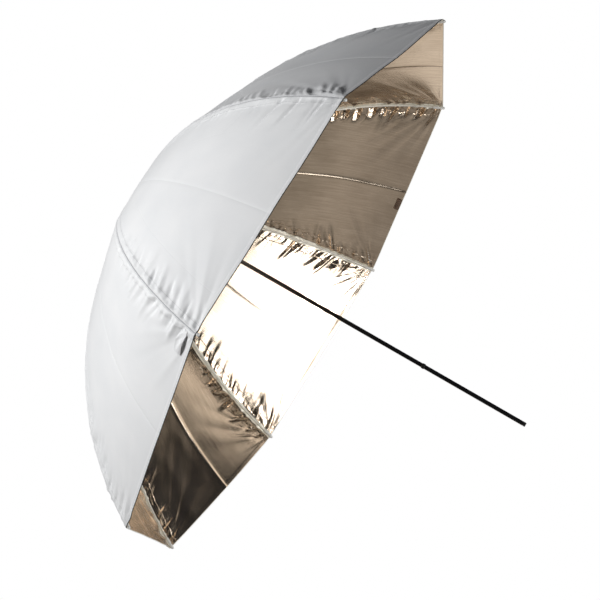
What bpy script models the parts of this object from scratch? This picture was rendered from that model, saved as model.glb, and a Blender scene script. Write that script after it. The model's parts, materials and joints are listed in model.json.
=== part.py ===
"""Studio umbrella reflector: an eight-rib folding umbrella on a plain tube.

Frame: metres, +Z up. The shaft lies along Y, the reflecting bowl opens towards -Y and the
canopy's apex is at +Y. Rib 3 stands straight up. The origin is the point of the shaft's axis
where a light stand's umbrella clamp grips it.
"""

from math import cos, pi, radians, sin

import bmesh
import bpy
from mathutils import Matrix, Vector

# The canopy: a shallow dome of eight gores, drawn by the curve of one rib.
RIB_COUNT = 8
RIM_RADIUS = 0.494
DOME_DEPTH = 0.3174
RIB_TURN = radians(55.5)
RIB_EARLY_TURN = -0.097
CANOPY_THICKNESS = 0.0008
CANOPY_HOLE = 0.0095
BILLOW = 0.003
SEAM_GAP = 0.0003
CREASE_GAP = 0.0002

# The shaft and what is fixed to it.
SHAFT_RADIUS = 0.0035
SHAFT_BORE = 0.0027
GRIP_FROM_END = 0.18
RIM_TO_FREE_END = 0.4156
SHAFT_PAST_APEX = 0.004
END_PLUG_HEAD = 0.004
END_PLUG_STEM = 0.009
END_PLUG_BEVEL = 0.0005
CAP_RADIUS = 0.0125
CAP_HEIGHT = 0.009
CAP_LIP = 0.0015
WASHER_INSET = 0.0015
WASHER_THICKNESS = 0.001
RUNNER_PIVOT_DROP = 0.160
STOP_DROP = 0.545
STOP_HEIGHT = 0.005
STOP_STEP = 0.0008
STOP_BEVEL = 0.0003
STOP_FIT = 0.0001

# The two slotted crowns that hold the roots of the ribs and of the stretchers.
PIVOT_RADIUS = 0.0115
CROWN_RADIUS = 0.0140
CROWN_HALF = 0.0022
GROOVE_HALF = 0.0009
GROOVE_FLOOR = 0.0104
SLOT_FLOOR = 0.0090
SLOT_WIDTH = 0.0028
BARREL_RADIUS = 0.0074
NOTCH_BARREL = 0.016
RUNNER_BARREL = 0.042
FLARE_STEP = 0.0018
FLARE_LENGTH = 0.006
FLARE_BEVEL = 0.001
KEYWAY_DEPTH = 0.004
EYE_RADIUS = 0.0019
EYE_HOLE = 0.0009
EYE_WIDTH = 0.0020
WIRE_RADIUS = 0.00045

# Ribs, stretchers and the small parts on them.
RIB_RADIUS = 0.0015
RIB_BELOW_CANOPY = 0.0036
ROOT_DROP = 0.0012
RIB_END_SHARE = 0.985
TIP_RADIUS = 0.0025
TIP_BORE = 0.0020
TIP_LENGTH = 0.022
TIP_SOCKET = 0.009
STRETCHER_SHARE = 0.42
STRETCHER_RADIUS = 0.0013
STRETCHER_ASIDE = 0.0042
STRETCHER_BELOW = 0.0014
STRETCHER_STEM = 0.005
STRETCHER_BEND = 0.018
RIVET_EYE_RADIUS = 0.0023
RIVET_EYE_WIDTH = 0.0022
CLIP_LENGTH = 0.014
CLIP_OUTER = 0.0026
CLIP_BORE = 0.0021

# The catch spring that holds the runner when the umbrella is open.
CATCH_ANGLE = radians(22.5)
CATCH_WIDTH = 0.0016
CATCH_NOSE_TOP = 0.0051
CATCH_LENGTH = 0.024
CATCH_SLOT_CLEARANCE = 0.0004
CATCH_LEAF_TOP = 0.0024
CATCH_LEAF_THICKNESS = 0.0006

# The sewn pieces: shares of the rib's length, shares of the way from rib to crease,
# thickness and how far each lies from the canopy's middle surface.
STRAP_PLACE = ((0.955, 0.978), (0.03, 0.26))
STRAP_THICKNESS = 0.0006
STRAP_LIFT = 0.0012
TAG_PLACE = ((0.985, 1.0), (0.77, 0.905))
TAG_THICKNESS = 0.0005
TAG_LIFT = -0.0016

FIT = 0.0003
ROUND_STEPS = 24

END_Y = -GRIP_FROM_END
RIM_Y = END_Y + RIM_TO_FREE_END
APEX_Y = RIM_Y + DOME_DEPTH
HALF_GORE = pi / RIB_COUNT


# ---------------------------------------------------------------- the rib's curve

def walk_rib(start_slope, steps):
    """Radius, drop and slope along a rib of length 1, measured from the apex."""
    path = [(0.0, 0.0, start_slope)]
    for i in range(steps):
        share = (i + 0.5) / steps
        slope = start_slope + RIB_TURN * (share + RIB_EARLY_TURN * share * (1 - share))
        radius, drop, _ = path[-1]
        path.append((radius + cos(slope) / steps, drop + sin(slope) / steps, slope))
    return path


def dome_curve(steps=400):
    """The rib's curve at its real size, with the start slope that gives the dome's depth."""
    low, high = -1.0, 1.0
    for _ in range(50):
        middle = (low + high) / 2
        radius, drop, _ = walk_rib(middle, steps)[-1]
        if drop / radius < DOME_DEPTH / RIM_RADIUS:
            low = middle
        else:
            high = middle
    path = walk_rib(middle, steps)
    size = RIM_RADIUS / path[-1][0]
    return [(radius * size, drop * size, slope) for radius, drop, slope in path]


DOME = dome_curve()


def dome_at(share):
    """Radius, drop and slope at a share of the rib's length; past 1 it runs straight on."""
    steps = len(DOME) - 1
    index = min(int(share * steps), steps - 1)
    part = share * steps - index
    near, far = DOME[index], DOME[index + 1]
    return tuple(a + (b - a) * part for a, b in zip(near, far))


def share_at_radius(radius):
    """The share of the rib's length at which it is this far from the shaft's axis."""
    steps = len(DOME) - 1
    for index in range(steps):
        if DOME[index + 1][0] >= radius:
            near, far = DOME[index][0], DOME[index + 1][0]
            return (index + (radius - near) / (far - near)) / steps
    return 1.0


def rib_line(share, extra=0.0):
    """Radius, height and slope of the rib's own centre, which runs below the canopy."""
    radius, drop, slope = dome_at(share)
    below = RIB_BELOW_CANOPY + ROOT_DROP * (1 - share) ** 8
    radius += cos(slope) * extra - sin(slope) * below
    height = APEX_Y - drop - sin(slope) * extra - cos(slope) * below
    return radius, height, slope


# A rib turns about the notch wire; a stretcher turns about the runner wire.
ROOT_SHARE = share_at_radius(PIVOT_RADIUS)
RIB_PIVOT = (PIVOT_RADIUS, rib_line(ROOT_SHARE)[1])
RUNNER_Y = APEX_Y - RUNNER_PIVOT_DROP
STRETCHER_PIVOT = (PIVOT_RADIUS, RUNNER_Y)
NOTCH_Y = RIB_PIVOT[1]


def gore_point(share, across, lift=0.0):
    """A point of the canopy beside a rib: (radial, height, sideways).

    across is 0 at the rib and 1 at the crease in the middle of the gore. A gore is
    straight from rib to rib, apart from a slight outward billow away from the rim.
    """
    radius, drop, slope = dome_at(share)
    lift += BILLOW * sin(pi * across / 2) * sin(pi * min(share, 1.0))
    inward = radius * sin(HALF_GORE) ** 2 * across
    sideways = radius * sin(HALF_GORE) * cos(HALF_GORE) * across
    return (
        radius - inward + sin(slope) * lift * cos(HALF_GORE),
        APEX_Y - drop + cos(slope) * lift,
        sideways + sin(slope) * lift * sin(HALF_GORE) * across,
    )


# ---------------------------------------------------------------- scene and materials

for old in list(bpy.data.objects):
    bpy.data.objects.remove(old, do_unlink=True)

umbrella = bpy.data.collections.new("umbrella_reflector")
bpy.context.scene.collection.children.link(umbrella)


def material(name, colour, roughness, metallic=0.0):
    made = bpy.data.materials.new(name)
    made.use_nodes = True
    shader = made.node_tree.nodes["Principled BSDF"]
    shader.inputs["Base Color"].default_value = (*colour, 1.0)
    shader.inputs["Roughness"].default_value = roughness
    shader.inputs["Metallic"].default_value = metallic
    made.diffuse_color = (*colour, 1.0)
    return made


BLACK_ENAMEL = material("black_enamel", (0.012, 0.012, 0.013), 0.25)
BLACK_PLASTIC = material("black_plastic", (0.02, 0.02, 0.021), 0.45)
WHITE_PLASTIC = material("white_plastic", (0.85, 0.85, 0.83), 0.4)
SPRING_STEEL = material("spring_steel", (0.6, 0.6, 0.6), 0.3, 1.0)
WHITE_NYLON = material("white_nylon", (0.83, 0.84, 0.84), 0.6)
BROWN_LABEL = material("brown_label", (0.2, 0.12, 0.08), 0.7)


# ---------------------------------------------------------------- modelling helpers

def evaluated_mesh(obj):
    """A new mesh of the object as its modifiers leave it; the object is removed."""
    bpy.context.scene.collection.objects.link(obj)
    graph = bpy.context.evaluated_depsgraph_get()
    mesh = bpy.data.meshes.new_from_object(obj.evaluated_get(graph), depsgraph=graph)
    bpy.data.objects.remove(obj, do_unlink=True)
    return mesh


def tidied(mesh, merge=0.000001):
    """The mesh with doubled points merged and its faces pointing out."""
    work = bmesh.new()
    work.from_mesh(mesh)
    bmesh.ops.remove_doubles(work, verts=work.verts, dist=merge)
    bmesh.ops.recalc_face_normals(work, faces=work.faces)
    work.to_mesh(mesh)
    work.free()
    return mesh


def turned(outline, ring=False, steps=ROUND_STEPS):
    """A solid turned about the Y axis from (radius, height) points."""
    mesh = bpy.data.meshes.new("outline")
    points = [(radius, 0, height) for radius, height in outline]
    edges = [(i, i + 1) for i in range(len(points) - 1)]
    if ring:
        edges.append((len(points) - 1, 0))
    mesh.from_pydata(points, edges, [])
    obj = bpy.data.objects.new("turned", mesh)
    screw = obj.modifiers.new("turn", "SCREW")
    screw.axis = "Z"
    screw.steps = screw.render_steps = steps
    screw.use_merge_vertices = True
    screw.merge_threshold = 0.00001
    solid = tidied(evaluated_mesh(obj))
    solid.transform(Matrix.Rotation(-pi / 2, 4, "X"))
    return solid


def wire(points, radius, resolution=2, closed=False):
    """A round wire along the points, with its ends capped."""
    curve = bpy.data.curves.new("wire", "CURVE")
    curve.dimensions = "3D"
    curve.bevel_depth = radius
    curve.bevel_resolution = resolution
    curve.use_fill_caps = not closed
    spline = curve.splines.new("POLY")
    spline.points.add(len(points) - 1)
    for point, place in zip(spline.points, points):
        point.co = (*place, 1.0)
    spline.use_cyclic_u = closed
    return tidied(evaluated_mesh(bpy.data.objects.new("wire", curve)), merge=0.00001)


def rod_primitive(radius, length, matrix, segments=ROUND_STEPS):
    """A cylinder along the matrix's own Z axis."""
    work = bmesh.new()
    bmesh.ops.create_cone(
        work, cap_ends=True, segments=segments, radius1=radius, radius2=radius,
        depth=length, matrix=matrix,
    )
    mesh = bpy.data.meshes.new("rod")
    work.to_mesh(mesh)
    work.free()
    return mesh


def block(size, matrix):
    """A box of this size about the matrix's origin."""
    work = bmesh.new()
    bmesh.ops.create_cube(work, size=1.0, matrix=matrix @ Matrix.Diagonal((*size, 1.0)))
    mesh = bpy.data.meshes.new("block")
    work.to_mesh(mesh)
    work.free()
    return mesh


def combined(mesh, joins=(), cuts=()):
    """The mesh with other meshes joined to it and then cut out of it."""
    obj = bpy.data.objects.new("combined", mesh)
    tools = []
    for operation, others in (("UNION", joins), ("DIFFERENCE", cuts)):
        for other in others:
            tool = bpy.data.objects.new("tool", other)
            bpy.context.scene.collection.objects.link(tool)
            tools.append(tool)
            boolean = obj.modifiers.new(operation.lower(), "BOOLEAN")
            boolean.operation = operation
            boolean.object = tool
    result = tidied(evaluated_mesh(obj))
    for tool in tools:
        bpy.data.objects.remove(tool, do_unlink=True)
    return result


def place(name, mesh, finish, parent=None, location=(0.0, 0.0, 0.0), smooth=True):
    """The mesh as a named part, under an empty on its joint's axis where it moves."""
    obj = bpy.data.objects.new(name, mesh)
    umbrella.objects.link(obj)
    obj.parent = parent
    obj.location = location
    if not mesh.materials:
        mesh.materials.append(finish)
        if smooth:
            mesh.shade_smooth()
            mesh.set_sharp_from_angle(angle=radians(35))
    return obj


def hinge(name, pivot, index):
    """An empty on a hinge beside rib `index`: local X is radial, local Z is sideways."""
    angle = 2 * HALF_GORE * index
    empty = bpy.data.objects.new(name, None)
    empty.empty_display_size = 0.02
    empty.location = (pivot[0] * cos(angle), pivot[1], pivot[0] * sin(angle))
    empty.rotation_euler = (0.0, -angle, 0.0)
    umbrella.objects.link(empty)
    return empty


def from_pivot(point, pivot):
    """A (radial, height, sideways) point in the frame of a hinge at the pivot."""
    return Vector((point[0] - pivot[0], point[1] - pivot[1], point[2]))


def sideways_eye(centre=(0.0, 0.0, 0.0), radius=EYE_RADIUS, width=EYE_WIDTH):
    """A flat round eye whose axis is the hinge's, which runs sideways."""
    return rod_primitive(radius, width, Matrix.Translation(centre), segments=16)


# ---------------------------------------------------------------- the shaft's own parts

def catch_frame(height):
    """Local X points out of the shaft at the catch, local Y along the shaft."""
    return Matrix.Translation((0.0, height, 0.0)) @ Matrix.Rotation(-CATCH_ANGLE, 4, "Y")


def make_shaft(catch_y):
    low = END_Y + END_PLUG_HEAD + FIT
    high = APEX_Y + SHAFT_PAST_APEX
    tube = turned(
        [(SHAFT_RADIUS, high), (SHAFT_RADIUS, low), (SHAFT_BORE, low), (SHAFT_BORE, high)],
        ring=True,
    )
    opening = block(
        (2 * SHAFT_RADIUS, CATCH_LENGTH * 0.7, CATCH_WIDTH + 2 * CATCH_SLOT_CLEARANCE),
        catch_frame(catch_y) @ Matrix.Translation((SHAFT_RADIUS + 0.001, 0.0, 0.0)),
    )
    place("shaft", combined(tube, cuts=[opening]), BLACK_ENAMEL)


def make_end_plug():
    stem = SHAFT_BORE - FIT
    top = END_Y + END_PLUG_HEAD
    outline = [
        (0.0, top + END_PLUG_STEM), (stem, top + END_PLUG_STEM), (stem, top),
        (SHAFT_RADIUS, top), (SHAFT_RADIUS, END_Y + END_PLUG_BEVEL),
        (SHAFT_RADIUS - END_PLUG_BEVEL, END_Y), (0.0, END_Y),
    ]
    place("shaft_end_plug", turned(outline), BLACK_PLASTIC)


def make_apex_cap():
    """A low white dome over the hole in the canopy, with a blind socket for the shaft."""
    bore = SHAFT_RADIUS + FIT
    lip, dome = APEX_Y + CAP_LIP, CAP_HEIGHT - CAP_LIP
    outline = [(0.0, APEX_Y + CAP_HEIGHT)]
    for step in range(1, 7):
        angle = pi / 2 * step / 6
        outline.append((CAP_RADIUS * sin(angle), lip + dome * cos(angle)))
    outline += [
        (CAP_RADIUS, APEX_Y), (bore, APEX_Y),
        (bore, APEX_Y + SHAFT_PAST_APEX + FIT), (0.0, APEX_Y + SHAFT_PAST_APEX + FIT),
    ]
    place("apex_cap", turned(outline), WHITE_PLASTIC)


def make_fabric_washer():
    """The disc under the cloth that the notch's crown bears on."""
    bottom = NOTCH_Y + CROWN_HALF + FIT
    top = bottom + WASHER_THICKNESS
    outer, inner = CROWN_RADIUS - WASHER_INSET, SHAFT_RADIUS + FIT
    outline = [(outer, top), (outer, bottom), (inner, bottom), (inner, top)]
    place("fabric_washer", turned(outline, ring=True), WHITE_PLASTIC)


def crown(barrel_length):
    """A slotted crown about y = 0 with a barrel below it: a spool whose groove holds a wire."""
    bore = SHAFT_RADIUS + FIT
    outline = [
        (CROWN_RADIUS, CROWN_HALF), (CROWN_RADIUS, GROOVE_HALF),
        (GROOVE_FLOOR, GROOVE_HALF), (GROOVE_FLOOR, -GROOVE_HALF),
        (CROWN_RADIUS, -GROOVE_HALF), (CROWN_RADIUS, -CROWN_HALF),
        (BARREL_RADIUS, -CROWN_HALF), (BARREL_RADIUS, -barrel_length),
        (bore, -barrel_length), (bore, CROWN_HALF),
    ]
    slots = []
    reach = CROWN_RADIUS - SLOT_FLOOR + 0.002
    for index in range(RIB_COUNT):
        turn = Matrix.Rotation(-2 * HALF_GORE * index, 4, "Y")
        middle = Matrix.Translation((SLOT_FLOOR + reach / 2, 0.0, 0.0))
        slots.append(block((reach, 4 * CROWN_HALF, SLOT_WIDTH), turn @ middle))
    return combined(turned(outline, ring=True, steps=32), cuts=slots)


def ring_wire(steps=32):
    """The wire that every rib or stretcher of one crown is threaded on."""
    turns = [2 * pi * step / steps for step in range(steps)]
    points = [(PIVOT_RADIUS * cos(turn), 0.0, PIVOT_RADIUS * sin(turn)) for turn in turns]
    return wire(points, WIRE_RADIUS, resolution=1, closed=True)


def make_notch():
    place("top_notch", crown(NOTCH_BARREL), WHITE_PLASTIC, location=(0.0, NOTCH_Y, 0.0))
    place("notch_wire", ring_wire(), SPRING_STEEL, location=(0.0, NOTCH_Y, 0.0))


def make_runner():
    """The sliding runner: a crown on a gripped barrel, with a groove that clears the catch."""
    keyway = block(
        (KEYWAY_DEPTH, 4 * RUNNER_BARREL, CATCH_WIDTH + 4 * CATCH_SLOT_CLEARANCE),
        Matrix.Rotation(-CATCH_ANGLE, 4, "Y") @ Matrix.Translation((0.0037, 0.0, 0.0)),
    )
    bottom, flared = -RUNNER_BARREL, BARREL_RADIUS + FLARE_STEP
    core = SHAFT_RADIUS + KEYWAY_DEPTH / 2 - FIT
    flare = turned([
        (flared, bottom + FLARE_LENGTH), (flared, bottom + FLARE_BEVEL),
        (flared - FLARE_BEVEL, bottom), (core, bottom),
        (core, bottom + FLARE_LENGTH + FLARE_BEVEL),
        (BARREL_RADIUS, bottom + FLARE_LENGTH + FLARE_BEVEL),
    ], ring=True, steps=32)
    body = combined(crown(RUNNER_BARREL), joins=[flare], cuts=[keyway])
    slide = bpy.data.objects.new("runner_slide", None)
    slide.empty_display_size = 0.02
    slide.location = (0.0, RUNNER_Y, 0.0)
    umbrella.objects.link(slide)
    place("runner", body, WHITE_PLASTIC, slide)
    place("runner_wire", ring_wire(), SPRING_STEEL, slide)


def make_runner_stop():
    """A collar that stops the runner where the umbrella is fully closed."""
    height = APEX_Y - STOP_DROP
    bottom = height - STOP_HEIGHT
    outer, inner = SHAFT_RADIUS + STOP_STEP, SHAFT_RADIUS + STOP_FIT
    outline = [
        (outer - STOP_BEVEL, height), (outer, height - STOP_BEVEL), (outer, bottom + STOP_BEVEL),
        (outer - STOP_BEVEL, bottom), (inner, bottom), (inner, height),
    ]
    place("runner_stop", turned(outline, ring=True), BLACK_PLASTIC)


def make_catch(catch_y):
    """A leaf inside the shaft whose sloped nose stands out through the shaft's slot."""
    press = bpy.data.objects.new("catch_press", None)
    press.empty_display_size = 0.01
    press.location = (0.0, catch_y, 0.0)
    press.rotation_euler = (0.0, -CATCH_ANGLE, 0.0)
    umbrella.objects.link(press)
    leaf_top, leaf_under = CATCH_LEAF_TOP, CATCH_LEAF_TOP - CATCH_LEAF_THICKNESS
    side = bpy.data.curves.new("catch_side", "CURVE")
    side.dimensions = "2D"
    side.fill_mode = "BOTH"
    side.extrude = CATCH_WIDTH / 2
    spline = side.splines.new("POLY")
    half = CATCH_LENGTH / 2
    outline = [
        (leaf_under, -half), (leaf_top, -half), (leaf_top, -half * 0.6),
        (CATCH_NOSE_TOP, half * 0.45), (CATCH_NOSE_TOP, half * 0.6), (leaf_top, half * 0.6),
        (leaf_top, half), (leaf_under, half),
    ]
    spline.points.add(len(outline) - 1)
    for point, (x, y) in zip(spline.points, outline):
        point.co = (x, y, 0.0, 1.0)
    spline.use_cyclic_u = True
    mesh = tidied(evaluated_mesh(bpy.data.objects.new("catch_side", side)), merge=0.00001)
    place("catch_spring", mesh, SPRING_STEEL, press, smooth=False)


# ---------------------------------------------------------------- ribs and stretchers

def rib_mesh(steps=24):
    """A bent rib from its eye on the notch wire to just short of the canopy's corner."""
    start = share_at_radius(PIVOT_RADIUS + 0.0045)
    points = [Vector((EYE_RADIUS * 0.75, 0.0, 0.0))]
    for step in range(steps + 1):
        share = start + (RIB_END_SHARE - start) * step / steps
        radius, height, _ = rib_line(share)
        points.append(from_pivot((radius, height, 0.0), RIB_PIVOT))
    hole = sideways_eye(radius=EYE_HOLE, width=2 * EYE_WIDTH)
    return combined(wire(points, RIB_RADIUS, resolution=1), joins=[sideways_eye()], cuts=[hole])


def rib_aligned(mesh, share, extra=0.0):
    """A mesh made along +Y, turned to point along the rib at this share of its length."""
    radius, height, slope = rib_line(share, extra)
    place_at = from_pivot((radius, height, 0.0), RIB_PIVOT)
    mesh.transform(Matrix.Translation(place_at) @ Matrix.Rotation(-pi / 2 - slope, 4, "Z"))
    return mesh


def tip_mesh():
    """A blunt cap pushed over the rib's end, standing a little past the canopy's corner."""
    outline = [(0.0, TIP_LENGTH)]
    for step in range(1, 5):
        angle = pi / 2 * step / 4
        outline.append((TIP_RADIUS * sin(angle), TIP_LENGTH - TIP_RADIUS * (1 - cos(angle))))
    outline += [(TIP_RADIUS, 0.0), (TIP_BORE, 0.0), (TIP_BORE, TIP_SOCKET), (0.0, TIP_SOCKET)]
    return rib_aligned(turned(outline, steps=12), RIB_END_SHARE, extra=FIT - TIP_SOCKET)


def clip_mesh():
    """The sleeve on the rib that a stretcher's end is riveted beside."""
    half = CLIP_LENGTH / 2
    outline = [(CLIP_OUTER, half), (CLIP_OUTER, -half), (CLIP_BORE, -half), (CLIP_BORE, half)]
    return rib_aligned(turned(outline, ring=True, steps=12), STRETCHER_SHARE)


def stretcher_mesh():
    """A strut from its eye on the runner wire to a flat rivet eye beside the rib's clip."""
    radius, height, slope = rib_line(STRETCHER_SHARE)
    below = Vector((-sin(slope), -cos(slope), 0.0)) * STRETCHER_BELOW
    end = from_pivot((radius, height, 0.0), STRETCHER_PIVOT) + below
    along = end.normalized()
    aside = Vector((0.0, 0.0, STRETCHER_ASIDE))
    points = [
        along * EYE_RADIUS * 0.75, along * STRETCHER_STEM, along * STRETCHER_BEND + aside,
        end * 0.5 + aside, end - along * 0.0015 + aside,
    ]
    outer_eye = sideways_eye(end + aside, radius=RIVET_EYE_RADIUS, width=RIVET_EYE_WIDTH)
    hole = sideways_eye(radius=EYE_HOLE, width=2 * EYE_WIDTH)
    return combined(
        wire(points, STRETCHER_RADIUS), joins=[sideways_eye(), outer_eye], cuts=[hole]
    )


def make_ribs():
    rib, tip, clip, strut = rib_mesh(), tip_mesh(), clip_mesh(), stretcher_mesh()
    for index in range(RIB_COUNT):
        number = index + 1
        root = hinge(f"rib_hinge_{number}", RIB_PIVOT, index)
        place(f"rib_{number}", rib, SPRING_STEEL, root)
        place(f"rib_tip_{number}", tip, WHITE_PLASTIC, root)
        place(f"rib_clip_{number}", clip, SPRING_STEEL, root)
        end = hinge(f"stretcher_hinge_{number}", STRETCHER_PIVOT, index)
        place(f"stretcher_{number}", strut, SPRING_STEEL, end)


# ---------------------------------------------------------------- the canopy

def canopy_patch(shares, acrosses, cells, side, thickness, lift=0.0):
    """A piece of cloth over part of a half gore: a grid laid on the canopy and thickened.

    side is +1 for the half gore past the rib and -1 for the one before it.
    """
    work = bmesh.new()
    bmesh.ops.create_grid(work, x_segments=cells[0], y_segments=cells[1], size=0.5)
    for vert in work.verts:
        share = shares[0] + (shares[1] - shares[0]) * (vert.co.x + 0.5)
        across = acrosses[0] + (acrosses[1] - acrosses[0]) * (vert.co.y + 0.5)
        radial, height, sideways = gore_point(share, across, lift)
        if across < 1e-6:
            sideways = SEAM_GAP
        if across > 1 - 1e-6:
            radial += CREASE_GAP * sin(HALF_GORE)
            sideways -= CREASE_GAP * cos(HALF_GORE)
        vert.co = from_pivot((radial, height, sideways), RIB_PIVOT)
        vert.co.z *= side
    mesh = bpy.data.meshes.new("patch")
    work.to_mesh(mesh)
    work.free()
    obj = bpy.data.objects.new("patch", mesh)
    solid = obj.modifiers.new("thickness", "SOLIDIFY")
    solid.thickness = thickness
    solid.offset = 0.0
    return tidied(evaluated_mesh(obj), merge=0.0000001)


def make_canopy():
    shares = (share_at_radius(CANOPY_HOLE), 1.0)
    halves = {
        "a": canopy_patch(shares, (0.0, 1.0), (14, 3), 1, CANOPY_THICKNESS),
        "b": canopy_patch(shares, (0.0, 1.0), (14, 3), -1, CANOPY_THICKNESS),
    }
    for index in range(RIB_COUNT):
        gore = index + 1
        next_rib = (index + 1) % RIB_COUNT
        fold_a = hinge(f"gore_fold_{gore}a", RIB_PIVOT, index)
        fold_b = hinge(f"gore_fold_{gore}b", RIB_PIVOT, next_rib)
        place(f"half_gore_{gore}a", halves["a"], WHITE_NYLON, fold_a)
        place(f"half_gore_{gore}b", halves["b"], WHITE_NYLON, fold_b)
        if gore == 1:
            tag = canopy_patch(*TAG_PLACE, (1, 1), 1, TAG_THICKNESS, TAG_LIFT)
            place("hem_label", tag, BROWN_LABEL, fold_a)
        if gore == 5:
            strap = canopy_patch(*STRAP_PLACE, (1, 3), 1, STRAP_THICKNESS, STRAP_LIFT)
            place("tie_strap", strap, WHITE_NYLON, fold_a)


def main():
    catch_y = RUNNER_Y - RUNNER_BARREL - 0.0006 - CATCH_LENGTH * 0.3
    make_shaft(catch_y)
    make_end_plug()
    make_apex_cap()
    make_fabric_washer()
    make_notch()
    make_runner()
    make_runner_stop()
    make_catch(catch_y)
    make_ribs()
    make_canopy()


main()
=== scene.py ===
"""The looks of a photographic umbrella reflector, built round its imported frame.

Metres, +Z up. The shaft lies along Y, the metallised bowl opens towards -Y, and rib 3 stands
straight up. "Share" is a share of a rib's length from the apex. A point beside a rib is given as
(radial, height, sideways): out from the shaft, along +Y, and round the shaft from the rib.
"""
import json
from math import cos, pi, radians, sin, sqrt

import bpy
import numpy as np
from mathutils import Matrix, Vector


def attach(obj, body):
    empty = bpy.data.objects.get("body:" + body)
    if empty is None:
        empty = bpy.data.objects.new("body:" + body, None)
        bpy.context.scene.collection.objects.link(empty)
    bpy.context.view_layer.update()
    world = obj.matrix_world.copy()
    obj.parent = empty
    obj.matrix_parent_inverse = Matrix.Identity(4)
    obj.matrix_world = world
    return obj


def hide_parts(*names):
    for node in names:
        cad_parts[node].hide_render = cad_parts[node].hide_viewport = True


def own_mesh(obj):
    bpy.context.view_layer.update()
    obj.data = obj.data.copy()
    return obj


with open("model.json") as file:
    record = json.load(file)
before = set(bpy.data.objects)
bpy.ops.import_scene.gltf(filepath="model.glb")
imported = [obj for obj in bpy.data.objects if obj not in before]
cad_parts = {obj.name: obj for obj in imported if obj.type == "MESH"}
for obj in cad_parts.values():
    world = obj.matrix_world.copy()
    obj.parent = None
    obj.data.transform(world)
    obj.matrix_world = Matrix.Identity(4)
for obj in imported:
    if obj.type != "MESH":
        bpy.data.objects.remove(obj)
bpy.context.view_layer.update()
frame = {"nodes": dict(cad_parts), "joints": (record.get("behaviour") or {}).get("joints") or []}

SCENE = bpy.context.scene
MM = 0.001
RIB_COUNT = 8
HALF_GORE = pi / RIB_COUNT

# The hinges on the notch wire and on the runner wire, (radial, height), from the frame.
joints = {joint["name"]: joint for joint in frame["joints"]}
PIVOT = joints["rib_1_fold"]["pos_m"][:2]
RUNNER_PIVOT = joints["stretcher_1_fold"]["pos_m"][:2]

# The part's driving dimensions: the rim, the dome's depth and the hole for the notch.
RIM_RADIUS = 0.494
RIM_Y = 0.2356
DOME_DEPTH = 0.3174
APEX_Y = RIM_Y + DOME_DEPTH
HOLE_RADIUS = 9.5 * MM

# The rib's curve: how far its slope turns from apex to tip, and how early it does so.
RIB_TURN = radians(55.5)
RIB_EARLY_TURN = -0.097

# How far a rib runs under the canopy, and how much further at its root.
RIB_BELOW_CANOPY = 3.6 * MM
ROOT_DROP = 1.2 * MM
RIB_END_SHARE = 0.985
CLIP_SHARE = 0.42

# The cloth: its thickness, a gore's billow, the widths of the sewn bands, and the rows of
# stitching beside a seam, outside and inside.
CLOTH = 0.5 * MM
BILLOW = 2 * MM
SEAM_BAND = 12.5 * MM
STITCH_ROWS = (1.9 * MM, 11.0 * MM)
INNER_STITCH_ROWS = (6.0 * MM,)
HEM = 6 * MM
TAPE = 5.4 * MM


# -------- the rib's curve

def walk_rib(start_slope, steps):
    """Radius, drop and slope along a rib of length 1 that leaves the apex at this slope."""
    share = (np.arange(steps) + 0.5) / steps
    slope = start_slope + RIB_TURN * (share + RIB_EARLY_TURN * share * (1 - share))
    radius = np.concatenate([[0], np.cumsum(np.cos(slope)) / steps])
    drop = np.concatenate([[0], np.cumsum(np.sin(slope)) / steps])
    return radius, drop, np.concatenate([[start_slope], slope])


def dome_curve(steps=800):
    """The canopy's radius, drop and slope over a rib, and the rib's length, by bisection."""
    low, high = -1.0, 1.0
    for _ in range(50):
        middle = (low + high) / 2
        radius, drop, _ = walk_rib(middle, steps)
        if drop[-1] / radius[-1] < DOME_DEPTH / RIM_RADIUS:
            low = middle
        else:
            high = middle
    radius, drop, slope = walk_rib(middle, steps)
    size = RIM_RADIUS / radius[-1]
    return radius * size, drop * size, slope, size


DOME_RADIUS, DOME_DROP, DOME_SLOPE, RIB_LENGTH = dome_curve()
DOME_SHARE = np.linspace(0, 1, len(DOME_RADIUS))


def dome_at(share):
    """Radius, drop and slope at each share; past the tip the curve runs straight on."""
    inside = np.clip(share, 0, 1)
    past = (np.asarray(share) - inside) * RIB_LENGTH
    slope = np.interp(inside, DOME_SHARE, DOME_SLOPE)
    radius = np.interp(inside, DOME_SHARE, DOME_RADIUS) + past * np.cos(slope)
    drop = np.interp(inside, DOME_SHARE, DOME_DROP) + past * np.sin(slope)
    return radius, drop, slope


def share_at_radius(radius):
    return float(np.interp(radius, DOME_RADIUS, DOME_SHARE))


def below_canopy(share, depth):
    """(radial, height, slope) of the point this far under the canopy on a rib's plane."""
    radius, drop, slope = dome_at(share)
    return radius - np.sin(slope) * depth, APEX_Y - drop - np.cos(slope) * depth, slope


def rib_line(share):
    """(radial, height, slope) of a rib's middle line."""
    depth = RIB_BELOW_CANOPY + ROOT_DROP * (1 - np.clip(share, 0, 1)) ** 8
    return below_canopy(share, depth)


def rib_axes(index):
    """The radial, height and sideways directions of rib `index`, as matrix columns."""
    angle = 2 * HALF_GORE * index
    return Matrix((
        (cos(angle), 0.0, -sin(angle)),
        (0.0, 1.0, 0.0),
        (sin(angle), 0.0, cos(angle)),
    ))


def to_world(index, points):
    """Rib-frame points (radial, height, sideways) as world points."""
    return np.asarray(points) @ np.array(rib_axes(index)).T


def straighten(piece):
    """Gives the piece its own copy of its mesh."""
    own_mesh(piece)


def fold_with_rib(piece):
    straighten(piece)


def fold_with_cloth(piece):
    """Gives the piece its own copy of its mesh, through straighten."""
    straighten(piece)


# -------- materials

def new_material(name):
    made = bpy.data.materials.new(name)
    made.use_nodes = True
    tree = made.node_tree
    return made, tree, tree.nodes["Principled BSDF"]


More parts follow.
